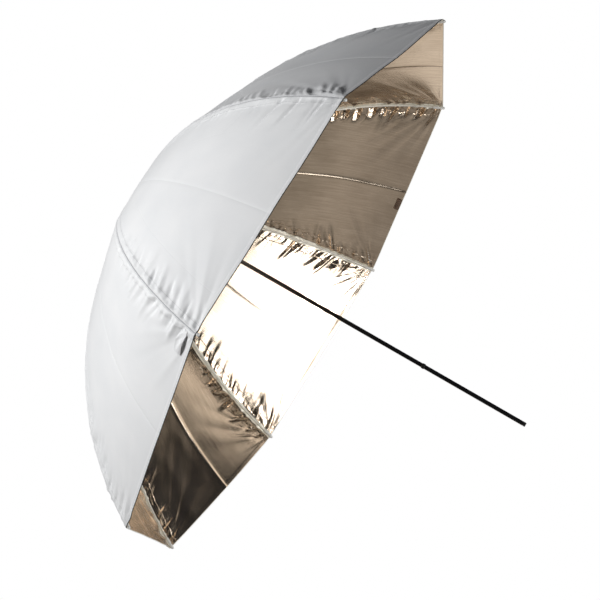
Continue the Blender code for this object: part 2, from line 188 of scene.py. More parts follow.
def set_inputs(node, values):
    for name, value in values.items():
        node.inputs[name].default_value = value


def value_of(tree, operation, first, second=None):
    """A Math node; each argument is a number or a socket. Returns its output."""
    node = tree.nodes.new("ShaderNodeMath")
    node.operation = operation
    for socket, value in zip(node.inputs, (first, second)):
        if value is None:
            continue
        if isinstance(value, (int, float)):
            socket.default_value = value
        else:
            tree.links.new(value, socket)
    return node.outputs[0]


def noise_of(tree, vector, scale, detail=3.0, rough=0.5):
    node = tree.nodes.new("ShaderNodeTexNoise")
    set_inputs(node, {"Scale": scale, "Detail": detail, "Roughness": rough})
    tree.links.new(vector, node.inputs["Vector"])
    return node.outputs["Fac"]


def ramp_of(tree, factor, stops):
    """A colour ramp with two (position, colour) stops."""
    node = tree.nodes.new("ShaderNodeValToRGB")
    for element, (position, colour) in zip(node.color_ramp.elements, stops):
        element.position = position
        element.color = (*colour, 1.0)
    tree.links.new(factor, node.inputs["Fac"])
    return node.outputs["Color"]


def range_of(tree, value, low, high, from_low=0.0, from_high=1.0):
    """The value's range from_low..from_high, clamped, turned into low..high."""
    node = tree.nodes.new("ShaderNodeMapRange")
    set_inputs(node, {"From Min": from_low, "From Max": from_high, "To Min": low, "To Max": high})
    tree.links.new(value, node.inputs["Value"])
    return node.outputs["Result"]


def bump_of(tree, height, distance, strength=1.0, after=None):
    node = tree.nodes.new("ShaderNodeBump")
    set_inputs(node, {"Distance": distance, "Strength": strength})
    tree.links.new(height, node.inputs["Height"])
    if after is not None:
        tree.links.new(after, node.inputs["Normal"])
    return node.outputs["Normal"]


def cloth_place(tree):
    """A cloth point's place, whole and as metres from the crease, along the rib, off the seam."""
    place = tree.nodes.new("ShaderNodeAttribute")
    place.attribute_name = "cloth_place"
    split = tree.nodes.new("ShaderNodeSeparateXYZ")
    tree.links.new(place.outputs["Vector"], split.inputs["Vector"])
    return (place.outputs["Vector"], *split.outputs)


def ridges(tree, place, pitch):
    """A rounded thread pattern of this pitch, from 0 to 1."""
    turns = value_of(tree, "MULTIPLY", place, 2 * pi / pitch)
    wave = value_of(tree, "SINE", turns)
    return range_of(tree, wave, 0.0, 1.0, -1.0, 1.0)


def gap_from(tree, value, place):
    """How far the value is from a place, either way."""
    return value_of(tree, "ABSOLUTE", value_of(tree, "SUBTRACT", value, place))


def stitches(tree, seam, along, rows, pitch=2.6 * MM, dash=0.68, half_width=0.28 * MM):
    """1 on the short dashes of thread along each row, 0 elsewhere."""
    turn = value_of(tree, "FRACT", value_of(tree, "DIVIDE", along, pitch))
    on_dash = value_of(tree, "LESS_THAN", turn, dash)
    total = None
    for row in rows:
        on_row = value_of(tree, "LESS_THAN", gap_from(tree, seam, row), half_width)
        total = on_row if total is None else value_of(tree, "MAXIMUM", total, on_row)
    return value_of(tree, "MULTIPLY", total, on_dash)


def streaks(tree, first, second, first_scale, second_scale, detail=3.0, rough=0.55):
    """Noise with its own scale, in features per metre or radian, in each of two directions."""
    stretched = tree.nodes.new("ShaderNodeCombineXYZ")
    for axis, value, scale in (("X", first, first_scale), ("Y", second, second_scale)):
        tree.links.new(value_of(tree, "MULTIPLY", value, scale), stretched.inputs[axis])
    return noise_of(tree, stretched.outputs["Vector"], 1.0, detail, rough)


def seam_pucker_bump(tree, places, reach, distance):
    """Small puckers across the seam, strongest near the rib's tip, as a bump."""
    _, across, along, seam = places
    folds = streaks(tree, along, across, 105.0, 11.0, 2.0, 0.45)
    near = range_of(tree, seam, 1.0, 0.0, 0.3 * reach, reach)
    outer = range_of(tree, along, 0.15, 1.0, 0.12, 0.5)
    strength = value_of(tree, "MULTIPLY", near, outer)
    return bump_of(tree, value_of(tree, "MULTIPLY", folds, strength), distance)


def corner_rays(tree, places, distance, after):
    """Fine straight creases that fan out from the canopy's corner at the rib's tip, as a bump."""
    _, _, along, seam = places
    back = value_of(tree, "SUBTRACT", RIB_LENGTH, along)
    turn = value_of(tree, "ARCTAN2", seam, back)
    squares = [value_of(tree, "MULTIPLY", side, side) for side in (seam, back)]
    away = value_of(tree, "SQRT", value_of(tree, "ADD", *squares))
    rays = streaks(tree, turn, away, 20.0, 9.0, 3.0, 0.5)
    fade = range_of(tree, away, 1.0, 0.0, 0.03, 0.15)
    return bump_of(tree, value_of(tree, "MULTIPLY", rays, fade), distance, after=after)


def seam_line(tree, seam, place, width=0.8 * MM):
    """A narrow raised line that runs beside the seam at this distance."""
    return range_of(tree, gap_from(tree, seam, place), 1.0, 0.0, 0.0, width)


def mixed_colour(tree, factor, colour, other):
    mix = tree.nodes.new("ShaderNodeMix")
    mix.data_type = "RGBA"
    tree.links.new(factor, mix.inputs["Factor"])
    tree.links.new(colour, mix.inputs["A"])
    mix.inputs["B"].default_value = (*other, 1.0)
    return mix.outputs["Result"]


def white_cloth():
    """Matt white nylon with a plain weave, faint creasing, two rows of seam stitching, and painted
    shade along the seam's groove.
    """
    made, tree, shader = new_material("white_nylon_cloth")
    places = cloth_place(tree)
    vector, across, along, seam = places
    patches = noise_of(tree, vector, 14.0, 4.0)
    colour = ramp_of(tree, patches, [(0.3, (0.84, 0.85, 0.86)), (0.7, (0.88, 0.885, 0.89))])
    thread = stitches(tree, seam, along, STITCH_ROWS)
    colour = mixed_colour(tree, thread, colour, (0.6, 0.61, 0.62))
    # Painted shade: the cloth is painted dark grey along the seam line, in its groove.
    crease = range_of(tree, seam, 0.75, 0.0, 0.3 * MM, 1.3 * MM)
    colour = mixed_colour(tree, crease, colour, (0.2, 0.2, 0.22))
    tree.links.new(colour, shader.inputs["Base Color"])
    weave = value_of(tree, "ADD", *(ridges(tree, way, 1.1 * MM) for way in (across, along)))
    cloth = seam_pucker_bump(tree, places, 34 * MM, 1.4 * MM)
    cloth = bump_of(tree, seam_line(tree, seam, 56 * MM), 0.3 * MM, 0.5, cloth)
    cloth = bump_of(tree, weave, 0.05 * MM, 0.5, cloth)
    fuzz = noise_of(tree, vector, 900.0, 2.0)
    cloth = bump_of(tree, fuzz, 0.05 * MM, 0.35, cloth)
    creased = streaks(tree, across, along, 42.0, 7.0)
    cloth = bump_of(tree, creased, 0.8 * MM, 0.3, cloth)
    cloth = bump_of(tree, thread, 0.25 * MM, 0.8, cloth)
    tree.links.new(cloth, shader.inputs["Normal"])
    tree.links.new(range_of(tree, patches, 0.5, 0.66), shader.inputs["Roughness"])
    set_inputs(shader, {"Sheen Weight": 0.12, "Sheen Roughness": 0.4, "Specular IOR Level": 0.3})
    return made


def foil_colour(tree, places, clouds):
    """Streaky champagne with brown stitching, and brown specks beside the seams painted in as shade
    for the crinkled cloth's dark reflections there.
    """
    _, across, along, seam = places
    grain = streaks(tree, across, along, 330.0, 14.0, 3.0, 0.6)
    tone = value_of(tree, "ADD", *(
        value_of(tree, "MULTIPLY", noise, 0.5) for noise in (clouds, grain)
    ))
    colour = ramp_of(tree, tone, [(0.35, (0.70, 0.57, 0.44)), (0.65, (0.93, 0.78, 0.62))])
    thread = stitches(tree, seam, along, INNER_STITCH_ROWS)
    colour = mixed_colour(tree, thread, colour, (0.3, 0.25, 0.2))
    # Painted shade: dark brown specks beside the seams stand in for the crinkled cloth's dark
    # reflections.
    specks = streaks(tree, across, along, 260.0, 90.0)
    painted_seam_shade = range_of(tree, specks, 0.0, 1.0, 0.52, 0.62)
    beside = range_of(tree, seam, 0.85, 0.0, 14 * MM, 34 * MM)
    painted_seam_shade = value_of(tree, "MULTIPLY", painted_seam_shade, beside)
    return mixed_colour(tree, painted_seam_shade, colour, (0.36, 0.26, 0.18))


def foil_relief(tree, places):
    """Puckers, corner creases, a seam line, slubs, the cross weave and crinkles, as a bump."""
    vector, across, along, seam = places
    wander = noise_of(tree, vector, 40.0, 2.0)
    wander = range_of(tree, wander, -1.2 * MM, 1.2 * MM)
    bent = value_of(tree, "ADD", across, wander)
    cloth = seam_pucker_bump(tree, places, 42 * MM, 1.5 * MM)
    cloth = corner_rays(tree, places, 0.45 * MM, cloth)
    cloth = bump_of(tree, seam_line(tree, seam, 20 * MM), 0.35 * MM, 0.8, cloth)
    slubs = streaks(tree, across, along, 60.0, 2.5)
    cloth = bump_of(tree, slubs, 0.2 * MM, 0.4, cloth)
    cloth = bump_of(tree, ridges(tree, bent, 2.9 * MM), 0.035 * MM, 0.9, cloth)
    cloth = bump_of(tree, ridges(tree, along, 1.9 * MM), 0.03 * MM, 0.5, cloth)
    crinkle = noise_of(tree, vector, 150.0, 4.0, 0.6)
    near = range_of(tree, seam, 1.0, 0.06, 12 * MM, 50 * MM)
    crinkle = value_of(tree, "MULTIPLY", crinkle, near)
    return bump_of(tree, crinkle, 0.7 * MM, 0.45, cloth)


def foil_cloth():
    """Champagne metallised cloth: a ribbed cross weave, long streaks and puckers at the seams."""
    made, tree, shader = new_material("champagne_metallised_cloth")
    places = cloth_place(tree)
    clouds = noise_of(tree, places[0], 18.0, 5.0, 0.6)
    tree.links.new(foil_colour(tree, places, clouds), shader.inputs["Base Color"])
    shader.inputs["Metallic"].default_value = 1.0
    tree.links.new(foil_relief(tree, places), shader.inputs["Normal"])
    tree.links.new(range_of(tree, clouds, 0.17, 0.24, 0.3, 0.7), shader.inputs["Roughness"])
    return made


def plain_finish(name, dark, light, roughness, metallic=0.0, grain=400.0, coat=0.0):
    """A hard finish with slight mottling of colour and gloss and a fine surface grain."""
    made, tree, shader = new_material(name)
    coordinates = tree.nodes.new("ShaderNodeTexCoord").outputs["Object"]
    mottle = noise_of(tree, coordinates, 35.0, 4.0, 0.6)
    colour = ramp_of(tree, mottle, [(0.3, dark), (0.7, light)])
    tree.links.new(colour, shader.inputs["Base Color"])
    gloss = range_of(tree, mottle, *roughness, 0.3, 0.7)
    tree.links.new(gloss, shader.inputs["Roughness"])
    fine = noise_of(tree, coordinates, grain, 3.0)
    tree.links.new(bump_of(tree, fine, 0.05 * MM, 0.4), shader.inputs["Normal"])
    set_inputs(shader, {"Metallic": metallic, "Coat Weight": coat, "Coat Roughness": 0.12})
    return made


WHITE_CLOTH = white_cloth()
FOIL_CLOTH = foil_cloth()
BLACK_ENAMEL = plain_finish(
    "black_enamelled_tube", (0.006, 0.006, 0.007), (0.012, 0.012, 0.013), (0.18, 0.3), coat=0.6
)
BLACK_PLASTIC = plain_finish(
    "black_moulded_plastic", (0.012, 0.012, 0.012), (0.025, 0.025, 0.026), (0.4, 0.55)
)
WHITE_PLASTIC = plain_finish(
    "white_moulded_plastic", (0.74, 0.74, 0.71), (0.84, 0.84, 0.82), (0.3, 0.45)
)
ZINC_STEEL = plain_finish(
    "zinc_plated_steel", (0.45, 0.45, 0.44), (0.66, 0.66, 0.65), (0.22, 0.4),
    metallic=1.0, grain=900.0,
)
RIB_STEEL = plain_finish(
    "pale_coated_steel", (0.62, 0.60, 0.54), (0.76, 0.74, 0.68), (0.35, 0.5),
    metallic=0.35, grain=900.0,
)
LABEL_CLOTH = plain_finish(
    "brown_woven_label", (0.10, 0.065, 0.045), (0.2, 0.13, 0.09), (0.7, 0.85), grain=1500.0
)
# Painted shade: the white cloth of the rim's rolled edge is painted near black on its outer half,
# where it lies in shade.
RIM_PAINTED_SHADE = plain_finish(
    "rim_painted_shade", (0.012, 0.012, 0.012), (0.04, 0.036, 0.033), (0.7, 0.85), grain=1800.0
)
SEAM_TAPE = plain_finish(
    "cream_seam_tape", (0.80, 0.76, 0.64), (0.94, 0.91, 0.81), (0.38, 0.48),
    metallic=0.3, grain=1500.0,
)
WHITE_TAPE = plain_finish(
    "white_woven_tape", (0.8, 0.81, 0.82), (0.88, 0.885, 0.89), (0.6, 0.7), grain=1500.0
)


# -------- mesh building

# Steps round a clip or a tip, and round an eye or a rivet.
ROUND_STEPS, EYE_STEPS = 24, 20
# The rib frame's third direction.
SIDEWAYS = np.array((0.0, 0.0, 1.0))


def grid_faces(rows, columns, first=0, wrap=False):
    """Quads of a grid of points stored row by row; wrap joins the last column to the first."""
    last = columns if wrap else columns - 1
    row, column = np.meshgrid(np.arange(rows - 1), np.arange(last), indexing="ij")
    nxt = (column + 1) % columns
    quads = np.stack([
        row * columns + column, row * columns + nxt,
        (row + 1) * columns + nxt, (row + 1) * columns + column,
    ], axis=-1)
    return quads.reshape(-1, 4) + first


def new_piece(name, points, faces, materials, material_index=None, smooth_angle=40):
    """A mesh object from arrays; faces is a list of quads and other polygons."""
    mesh = bpy.data.meshes.new(name)
    mesh.from_pydata(np.asarray(points).tolist(), [], [list(map(int, face)) for face in faces])
    for finish in materials:
        mesh.materials.append(finish)
    if material_index is not None:
        mesh.polygons.foreach_set("material_index", np.asarray(material_index, dtype=np.int32))
    mesh.shade_smooth()
    mesh.set_sharp_from_angle(angle=radians(smooth_angle))
    mesh.update()
    piece = bpy.data.objects.new(name, mesh)
    SCENE.collection.objects.link(piece)
    return piece


def capped_tube(rows, around):
    """Faces over rows of points that each close on themselves, and over the two ends."""
    faces = grid_faces(rows, around, wrap=True).tolist()
    faces.append(list(range(around))[::-1])
    faces.append(list(range((rows - 1) * around, rows * around)))
    return faces


def sweep(outline, centres, outs, scale):
    """Points and faces of a closed outline carried along a path, with capped ends.

    outline is (sideways, outward) pairs; outs is the outward direction and scale the two sizes
    at each centre.
    """
    outline = np.asarray(outline, float)
    side_part = outline[None, :, 0, None] * scale[:, 0, None, None] * SIDEWAYS
    out_part = outline[None, :, 1, None] * scale[:, 1, None, None] * outs[:, None, :]
    points = (centres[:, None, :] + side_part + out_part).reshape(-1, 3)
    return points, capped_tube(len(centres), len(outline))


def joined(shapes):
    """Several (points, faces) shapes as one."""
    points, faces, first = [], [], 0
    for shape_points, shape_faces in shapes:
        points.append(np.asarray(shape_points, float))
        faces += [[index + first for index in face] for face in shape_faces]
        first += len(shape_points)
    return np.concatenate(points), faces


def lathe(outline, steps):
    """A solid of revolution about the Y axis from (radius, height) pairs, top to bottom."""
    outline = np.asarray(outline, float)
    turn = np.linspace(0, 2 * pi, steps, endpoint=False)
    radius = np.maximum(outline[:, 0], 1e-6)[:, None]
    points = np.stack([
        radius * np.cos(turn), np.repeat(outline[:, 1:], steps, 1), radius * np.sin(turn),
    ], axis=-1).reshape(-1, 3)
    return points, capped_tube(len(outline), steps)


def moved(shape, matrix):
    points, faces = shape
    turn = np.array(matrix.to_3x3())
    return np.asarray(points) @ turn.T + np.array(matrix.translation), faces


def lying_across(centre, radius, width, edge=0.2):
    """A disc with softened edges whose axis runs sideways, about a rib-frame centre."""
    soft = width * edge
    outline = [
        (0, width / 2), (radius - soft, width / 2), (radius, width / 2 - soft),
        (radius, soft - width / 2), (radius - soft, -width / 2), (0, -width / 2),
    ]
    place = Matrix.Translation(centre) @ Matrix.Rotation(pi / 2, 4, "X")
    return moved(lathe(outline, EYE_STEPS), place)


# -------- the canopy

# The cloth's mesh: columns run from the seam at the rib to the crease in the middle of the gore,
# rows from the hole to the rim, closer together where the folds are.
SEAM_COLUMNS = np.array([0, 0.5, 1.2, 2.2, 3.6, 5.4, 7.4, 9.4, 11.3, 12.1, 13.0, 14.6]) * MM
CREASE_COLUMNS = np.array([7.0, 4.4, 2.6, 1.2, 0.0]) * MM
OPEN_COLUMNS = 38
HEM_ROWS = np.array([9.0, 7.2, 6.4, 5.6, 4.2, 2.6, 1.2, 0.4, 0.0]) * MM
INNER_ROWS, OUTER_ROWS, FINER_FROM = 72, 180, 0.5
# The half gore's width below which its columns draw together.
FULL_WIDTH = 60 * MM
# How far the rim's turned edge stands out.
RIM_ROLL = 1.1 * MM

# How far each gore's middle is drawn in from a flat panel, and its crease's height, gore 1 first.
DRAWN_IN = np.array([2.5, 1.0, 2.0, 0.5, 0.5, 2.0, 10.0, 1.0]) * MM
CREASE_RIDGE = np.array([1.4, 0.6, 0.6, 0.4, 0.4, 0.6, 1.4, 0.5]) * MM
# The share of the rib by which each gore's crease is pulled flat; above 1.1 it never is.
CREASE_END = np.array([1.5, 1.5, 1.5, 1.5, 1.5, 1.5, 1.5, 0.8])
# 0 draws the halves in as two flat panels, 1 as an even hollow.
HOLLOW = 0.8
# How fast a crease's ridge falls away beside it, and the gutter in which a seam lies.
CREASE_FALL = 2.4 * MM
GUTTER_DEPTH, GUTTER_WIDTH = 1.3 * MM, 1.2 * MM
# Puckers beside a seam, in millimetres: their pitch, height, reach off the seam and half width;
# how far each leans along the seam per unit of distance from it; their start in metres.
PUCKER_PITCH, PUCKER_HEIGHT = (9.0, 18.0), (0.5, 2.2)
PUCKER_REACH, PUCKER_WIDTH, PUCKER_SLANT = (20.0, 54.0), (3.0, 6.5), (-0.55, -0.1)
PUCKERS_START = 0.14
# The gore, and its side before (-1) or after (1) a rib, whose seam swells into tongues; their
# gap, half width, crest's distance from the seam, fall beyond it and height in millimetres.
SWOLLEN_SEAM = (0, -1)
TONGUE_GAP, TONGUE_HALF = (7.0, 18.0), (4.5, 7.0)
TONGUE_CREST, TONGUE_FALL, TONGUE_HEIGHT = (6.0, 10.0), (20.0, 29.0), (8.0, 11.0)
# Where each kind of fold starts its own row of random numbers.
PUCKER_SEED, CORNER_SEED, SLACK_SEED, BAND_SEED, TONGUE_SEED = 100, 300, 500, 900, 1300
# How strongly each rib's seam gathers the gore before it and the gore after it, rib 1 first.
GATHER = (
    (1.4, 2.0), (2.6, 1.0), (0.9, 0.9), (1.3, 1.3), (1.8, 1.8), (1.3, 1.3), (1.3, 1.3), (1.8, 1.2),
)


def cloth_grid():
    """Shares, and at each the distances from the seam, of a half gore's points."""
    start = share_at_radius(HOLE_RADIUS)
    hem = 1 - HEM_ROWS / RIB_LENGTH
    shares = np.concatenate([
        np.linspace(start, FINER_FROM, INNER_ROWS, endpoint=False),
        np.linspace(FINER_FROM, hem[0], OUTER_ROWS, endpoint=False), hem,
    ])
    width = dome_at(shares)[0] * sin(HALF_GORE)
    narrow = np.minimum(1.0, width / FULL_WIDTH)[:, None]
    seam = SEAM_COLUMNS[None, :] * narrow
    crease = width[:, None] - CREASE_COLUMNS[None, :] * narrow
    spread = np.linspace(0, 1, OPEN_COLUMNS + 2)[None, 1:-1]
    middle = seam[:, -1:] + (crease[:, :1] - seam[:, -1:]) * spread
    distance = np.concatenate([seam, middle, crease], axis=1)
    return shares, distance, width


def soft_step(low, high, value):
    x = np.clip((value - low) / (high - low), 0, 1)
    return x * x * (3 - 2 * x)


def seam_puckers(along, seam, seed, gather):
    """Short folds that run off the seam, where its thread gathers the cloth."""
    rng = np.random.default_rng(seed)
    height = np.zeros(np.broadcast(along, seam).shape)
    place = PUCKERS_START
    while place < RIB_LENGTH - HEM:
        grow = 0.12 + 0.88 * soft_step(0.35, 0.85, place / RIB_LENGTH)
        place += rng.uniform(*PUCKER_PITCH) * MM
        size = gather * rng.uniform(*PUCKER_HEIGHT) * rng.choice((-1.0, 1.0)) * grow * MM
        reach = rng.uniform(*PUCKER_REACH) * (0.4 + 0.7 * grow) * MM
        half = rng.uniform(*PUCKER_WIDTH) * MM
        slant = rng.uniform(*PUCKER_SLANT)
        ridge = np.exp(-(((along - place - slant * seam) / half) ** 2))
        ridge *= soft_step(0.5 * MM, 7.0 * MM, seam)
        height += size * ridge * (1 - soft_step(0.45 * reach, 1.2 * reach, seam))
    return height


def gathered_tongues(along, seam, seed):
    """Tongues of cloth side by side that swell beside a seam, where its thread pulls hardest."""
    rng = np.random.default_rng(seed)
    height = np.zeros(np.broadcast(along, seam).shape)
    start_share, end_share = 0.60, 0.96
    place = start_share * RIB_LENGTH
    while place < end_share * RIB_LENGTH:
        half = rng.uniform(*TONGUE_HALF) * MM
        crest = rng.uniform(*TONGUE_CREST) * MM
        end = crest + rng.uniform(*TONGUE_FALL) * MM
        shrink = 1 - 0.6 * soft_step(0.74, 0.9, place / RIB_LENGTH)
        size = rng.uniform(*TONGUE_HEIGHT) * shrink * MM
        tongue = 1 - soft_step(half - 1.5 * MM, half + 1.5 * MM, np.abs(along - place))
        height += size * tongue * np.minimum(seam / crest, 1.0) * (1 - soft_step(crest, end, seam))
        place += 2 * half + rng.uniform(*TONGUE_GAP) * MM
    return height


def band_crinkle(along, seam, seed, size):
    """The seam's band of doubled cloth, buckled into short flat facets."""
    rng = np.random.default_rng(seed)
    knots = np.cumsum(rng.uniform(3.0, 11.0, 120)) * MM
    levels = rng.uniform(-1.0, 1.0, 120) * size
    facets = np.interp(along, knots, levels) * soft_step(0.2, 0.5, along / RIB_LENGTH)
    inner = soft_step(3 * MM, 6 * MM, seam)
    outer = soft_step(SEAM_BAND - 2 * MM, SEAM_BAND + MM, seam)
    return facets * inner * (1 - outer)


def corner_folds(along, seam, seed):
    """Long shallow folds that fan out from the canopy's corner at the rib's tip."""
    rng = np.random.default_rng(seed)
    back = np.maximum(RIB_LENGTH - along, 1e-5)
    angle = np.arctan2(seam, back)
    away = np.hypot(seam, back)
    height = np.zeros_like(away)
    for middle in np.linspace(0.12, 1.25, 6):
        middle = middle + rng.uniform(-0.07, 0.07)
        size = rng.uniform(0.4, 1.1) * rng.choice((-1.0, 1.0)) * MM
        reach = rng.uniform(30, 60) * MM
        swell = away / reach * np.exp(1 - away / reach)
        height += size * swell * np.exp(-(((angle - middle) / 0.08) ** 2))
    return height * soft_step(0, 6 * MM, seam)


def slack(along, across, seed, size, waves, wavelength):
    """Uneven slackness: a sum of long waves in random directions."""
    rng = np.random.default_rng(seed)
    height = np.zeros(np.broadcast(along, across).shape)
    for _ in range(waves):
        turn = rng.uniform(0, pi)
        length = rng.uniform(*wavelength)
        phase = rng.uniform(0, 2 * pi)
        height += np.sin(2 * pi * (along * cos(turn) + across * sin(turn)) / length + phase)
    return height * size / sqrt(waves)


def cloth_relief(gore, near_rib, side, shares, seam, width):
    """How far the cloth stands off its even curve, outwards, at each point.

    side is 1 on a gore's half after its rib and -1 on its half before the next one.
    """
    along = (shares * RIB_LENGTH)[:, None] + 0 * seam
    crease = width[:, None] - seam
    across = side * crease
    seed = 2 * near_rib + (side > 0)
    folds = seam_puckers(along, seam, PUCKER_SEED + seed, GATHER[near_rib][side > 0])
    folds += corner_folds(along, seam, CORNER_SEED + seed)
    height = folds * (1 - soft_step(0.6, 0.96, seam / width[:, None]))
    height += band_crinkle(along, seam, BAND_SEED + seed, size=0.45 * MM)
    if (gore, side) == SWOLLEN_SEAM:
        height += gathered_tongues(along, seam, TONGUE_SEED)
    open_cloth = soft_step(0.04, 0.14, along) * soft_step(0, 14 * MM, seam)
    height += open_cloth * slack(
        along, across, SLACK_SEED + gore, size=0.55 * MM, waves=7, wavelength=(0.09, 0.22)
    )
    spread = seam / width[:, None]
    drawn = spread * (1 + HOLLOW * (1 - spread)) * (width / width[-1])[:, None]
    height -= DRAWN_IN[gore] * drawn
    fold = CREASE_RIDGE[gore] * np.exp(-crease / CREASE_FALL) * soft_step(0.05, 0.2, along)
    fold *= 1 - soft_step(CREASE_END[gore] - 0.1, CREASE_END[gore], shares)[:, None]
    gutter = GUTTER_DEPTH * np.exp(-((seam / GUTTER_WIDTH) ** 2))
    return height - fold - gutter


def outer_relief(shares, seam):
    """The felled seam's double band and the hem on the outside, on top of the cloth."""
    rim = ((1 - shares) * RIB_LENGTH)[:, None]
    band = soft_step(0.3 * MM, 1.6 * MM, seam)
    band *= 1 - soft_step(SEAM_BAND - 0.9 * MM, SEAM_BAND, seam)
    quilt = 1.0 - sum(0.45 * np.exp(-(((seam - row) / (0.8 * MM)) ** 2)) for row in STITCH_ROWS)
    hem = 0.45 * MM * (1 - soft_step(HEM - 0.6 * MM, HEM + 0.4 * MM, rim))
    return 0.55 * MM * band * quilt + hem


def inner_relief(shares, seam):
    """The seam's allowance and the turned hem on the inside."""
    rim = ((1 - shares) * RIB_LENGTH)[:, None]
    tape = 0.35 * MM * (1 - soft_step(TAPE - 0.2 * MM, TAPE + 1.4 * MM, seam))
    hem = 0.25 * MM * (1 - soft_step(HEM - 2 * MM, HEM + 2 * MM, rim))
    return np.maximum(tape, hem)


def base_cloth(shares, seam):
    """Even points of a half gore in the rib's frame and their outward directions."""
    def surface(shares, seam):
        radius, drop, slope = dome_at(shares)
        radius, drop, slope = radius[:, None], drop[:, None], slope[:, None]
        across = seam / (radius * sin(HALF_GORE))
        billow = BILLOW * np.sin(pi * across / 2) * np.sin(pi * np.minimum(shares, 1.0))[:, None]
        radial = radius * (1 - sin(HALF_GORE) ** 2 * across)
        radial += np.sin(slope) * billow * cos(HALF_GORE)
        height = APEX_Y - drop + np.cos(slope) * billow
        sideways = seam * cos(HALF_GORE) + np.sin(slope) * billow * sin(HALF_GORE) * across
        return np.stack([radial, height, sideways], axis=-1)

    points = surface(shares, seam)
    step = 1e-4
    scale = (dome_at(shares + step)[0] / dome_at(shares)[0])[:, None]
    along = surface(shares + step, seam * scale) - points
    across = surface(shares, seam + step) - points
    out = np.cross(across, along)
    out /= np.linalg.norm(out, axis=-1, keepdims=True)
    out *= np.sign(out[..., 1:2])
    # The two half gores share one direction where they meet: at the seam it has no sideways part.
    out[..., 2] *= soft_step(0, 9 * MM, seam)
    out /= np.linalg.norm(out, axis=-1, keepdims=True)
    return points, out


def borders(rows, columns):
    """Point numbers of a grid's first row, last column, last row and first column, in turn."""
    last_row = np.arange((rows - 1) * columns, rows * columns)[::-1]
    return (
        np.arange(columns), np.arange(1, rows + 1) * columns - 1,
        last_row, np.arange(rows)[::-1] * columns,
    )


def edge_strip(near, far):
    """Quads between two rows of point numbers."""
    return np.stack([near[:-1], far[:-1], far[1:], near[1:]], axis=-1)


def cloth_shell(top, under, rim_out):
    """Points, faces and face finishes of a cloth with its edges closed and its rim rolled.

    The finishes are 0 outer cloth, 1 inner foil, 2 the rim's outer half, painted near black as
    shade, and 3 the rim's inner half and the tape under the seam.
    """
    rows, columns = top.shape[:2]
    shell = rows * columns
    middle = (top[-1] + under[-1]) / 2 + rim_out * RIM_ROLL
    points = np.concatenate([top.reshape(-1, 3), under.reshape(-1, 3), middle])
    hole, crease, rim, seam = borders(rows, columns)
    rolled = (2 * shell + np.arange(columns))[::-1]
    taped = int(np.searchsorted(SEAM_COLUMNS, TAPE, side="right")) - 1
    inner_faces = grid_faces(rows, columns, first=shell)[:, ::-1]
    under_seam = np.tile(np.arange(columns - 1) < taped, rows - 1)
    parts = [
        (grid_faces(rows, columns), 0),
        (inner_faces[~under_seam], 1), (inner_faces[under_seam], 3),
        (edge_strip(hole, hole + shell), 0), (edge_strip(crease, crease + shell), 0),
        (edge_strip(rim, rolled), 2), (edge_strip(rolled, rim + shell), 3),
        (edge_strip(seam, seam + shell), 0),
    ]
    faces = [face for quads, _ in parts for face in quads.tolist()]
    finishes = [finish for quads, finish in parts for _ in range(len(quads))]
    for corner in (0, -1):
        triangle = [int(rim[corner]), int(rim[corner]) + shell, int(rolled[corner])]
        faces.append(triangle if corner == 0 else triangle[::-1])
        finishes.append(2)
    return points, faces, finishes


def store_places(piece, gore, across, shares, seam):
    """Each point's place in the cloth, for its finish; gores lie a metre apart, so they differ."""
    along = (shares * RIB_LENGTH)[:, None] + 0 * seam
    place = np.stack([across + gore, along, seam], axis=-1)
    skin = place.reshape(-1, 3)
    attribute = piece.data.attributes.new("cloth_place", "FLOAT_VECTOR", "POINT")
    attribute.data.foreach_set("vector", np.concatenate([skin, skin, place[-1]]).ravel())


def half_gore(gore, half):
    """One half gore, sewn to one rib and folded at the other edge, as a closed thin cloth."""
    side = 1 if half == "a" else -1
    rib = gore if half == "a" else (gore + 1) % RIB_COUNT
    shares, seam, width = cloth_grid()
    base, out = base_cloth(shares, seam)
    relief = cloth_relief(gore, rib, side, shares, seam, width)
    top = base + out * (relief + CLOTH / 2 + outer_relief(shares, seam))[..., None]
    under = base + out * (relief - CLOTH / 2 - inner_relief(shares, seam))[..., None]
    rim_out = base[-1] - base[-2]
    rim_out /= np.linalg.norm(rim_out, axis=-1, keepdims=True)
    points, faces, finishes = cloth_shell(top, under, rim_out)
    points[:, 2] *= side
    if side > 0:
        faces = [face[::-1] for face in faces]
    piece = new_piece(
        f"gore_cloth_{gore + 1}{half}", to_world(rib, points), faces,
        [WHITE_CLOTH, FOIL_CLOTH, RIM_PAINTED_SHADE, SEAM_TAPE], finishes, smooth_angle=70,
    )
    store_places(piece, gore, side * (width[:, None] - seam), shares, seam)
    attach(piece, f"gore_{gore + 1}{half}")
    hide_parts(f"half_gore_{gore + 1}{half}")
    fold_with_cloth(piece)


# -------- ribs, clips, tips

# The channels' width and depth, and the radius and width of the eye at their inner ends.
RIB_CHANNEL = (3.1 * MM, 2.9 * MM)
STRETCHER_CHANNEL = (2.6 * MM, 2.5 * MM)
EYE = (2.1 * MM, 1.9 * MM)
# The far eye of a stretcher and its rivet, how far they lie beside the clip, and how far below
# the rib's middle line.
FAR_EYE = (2.4 * MM, 1.8 * MM)
RIVET = (1.3 * MM, 2.9 * MM)
RIVET_ASIDE = 4.2 * MM
RIVET_BELOW = 1.4 * MM


def channel_outline(width, depth, wall=0.55 * MM, steps=8):
    """A U channel's outline, (sideways, outward), with its round back inwards."""
    half = width / 2
    bend = np.linspace(0, pi, steps)
    back = [(half * cos(turn), -half * sin(turn)) for turn in bend]
    inner = half - wall
    lips = [(-half, depth - half), (-inner, depth - half)]
    trough = [(inner * -cos(turn), -inner * sin(turn)) for turn in bend]
    return back + lips + trough + [(inner, depth - half), (half, depth - half)]


def rib_piece(name, index, shape, finish):
    """A piece from a shape in the frame of rib `index`."""
    points, faces = shape
    return new_piece(f"{name}_{index + 1}", to_world(index, points), faces, [finish])


